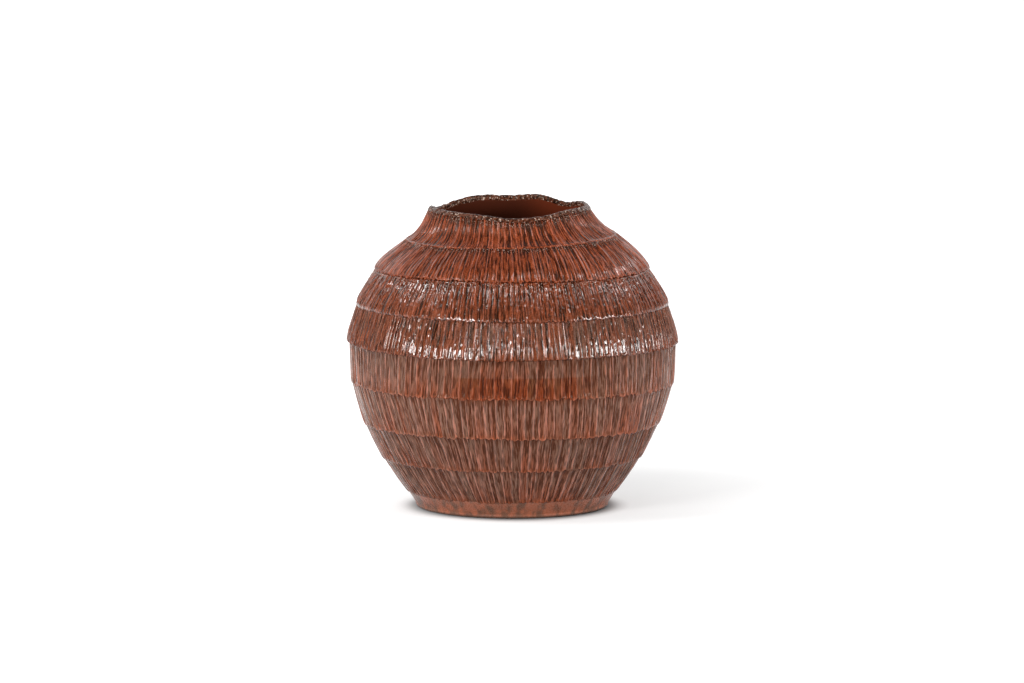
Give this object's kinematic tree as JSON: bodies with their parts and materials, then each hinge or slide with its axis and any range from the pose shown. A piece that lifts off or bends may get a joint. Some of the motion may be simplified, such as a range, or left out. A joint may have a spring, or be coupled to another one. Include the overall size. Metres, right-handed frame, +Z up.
{
  "type": "vase",
  "caption": "Squat globular hand-built stoneware vase with fluted clay courses, a plain foot band and a small wavy-lipped mouth.",
  "frame": {"origin": "centre of the footprint, on the plane of the foot ring that the vase stands on", "axes": "+Z up along the vase's turning axis, towards the mouth; -Y towards the side that the picture shows"},
  "size_m": [0.2831, 0.2831, 0.2617],
  "materials": {
    "rust_glaze": "gloss",
    "foot_glaze": "satin",
    "lip_glaze": "gloss",
    "bare_clay": "matte"
  },
  "bodies": {
    "root": {"base_slab": "bare_clay", "foot_band": "foot_glaze", "carved_course_1": "rust_glaze", "carved_course_2": "rust_glaze", "carved_course_3": "rust_glaze", "carved_course_4": "rust_glaze", "carved_course_5": "rust_glaze", "carved_course_6": "rust_glaze", "carved_course_7": "rust_glaze", "carved_course_8": "rust_glaze", "lip_coil": "lip_glaze"}
  },
  "joints": []
}
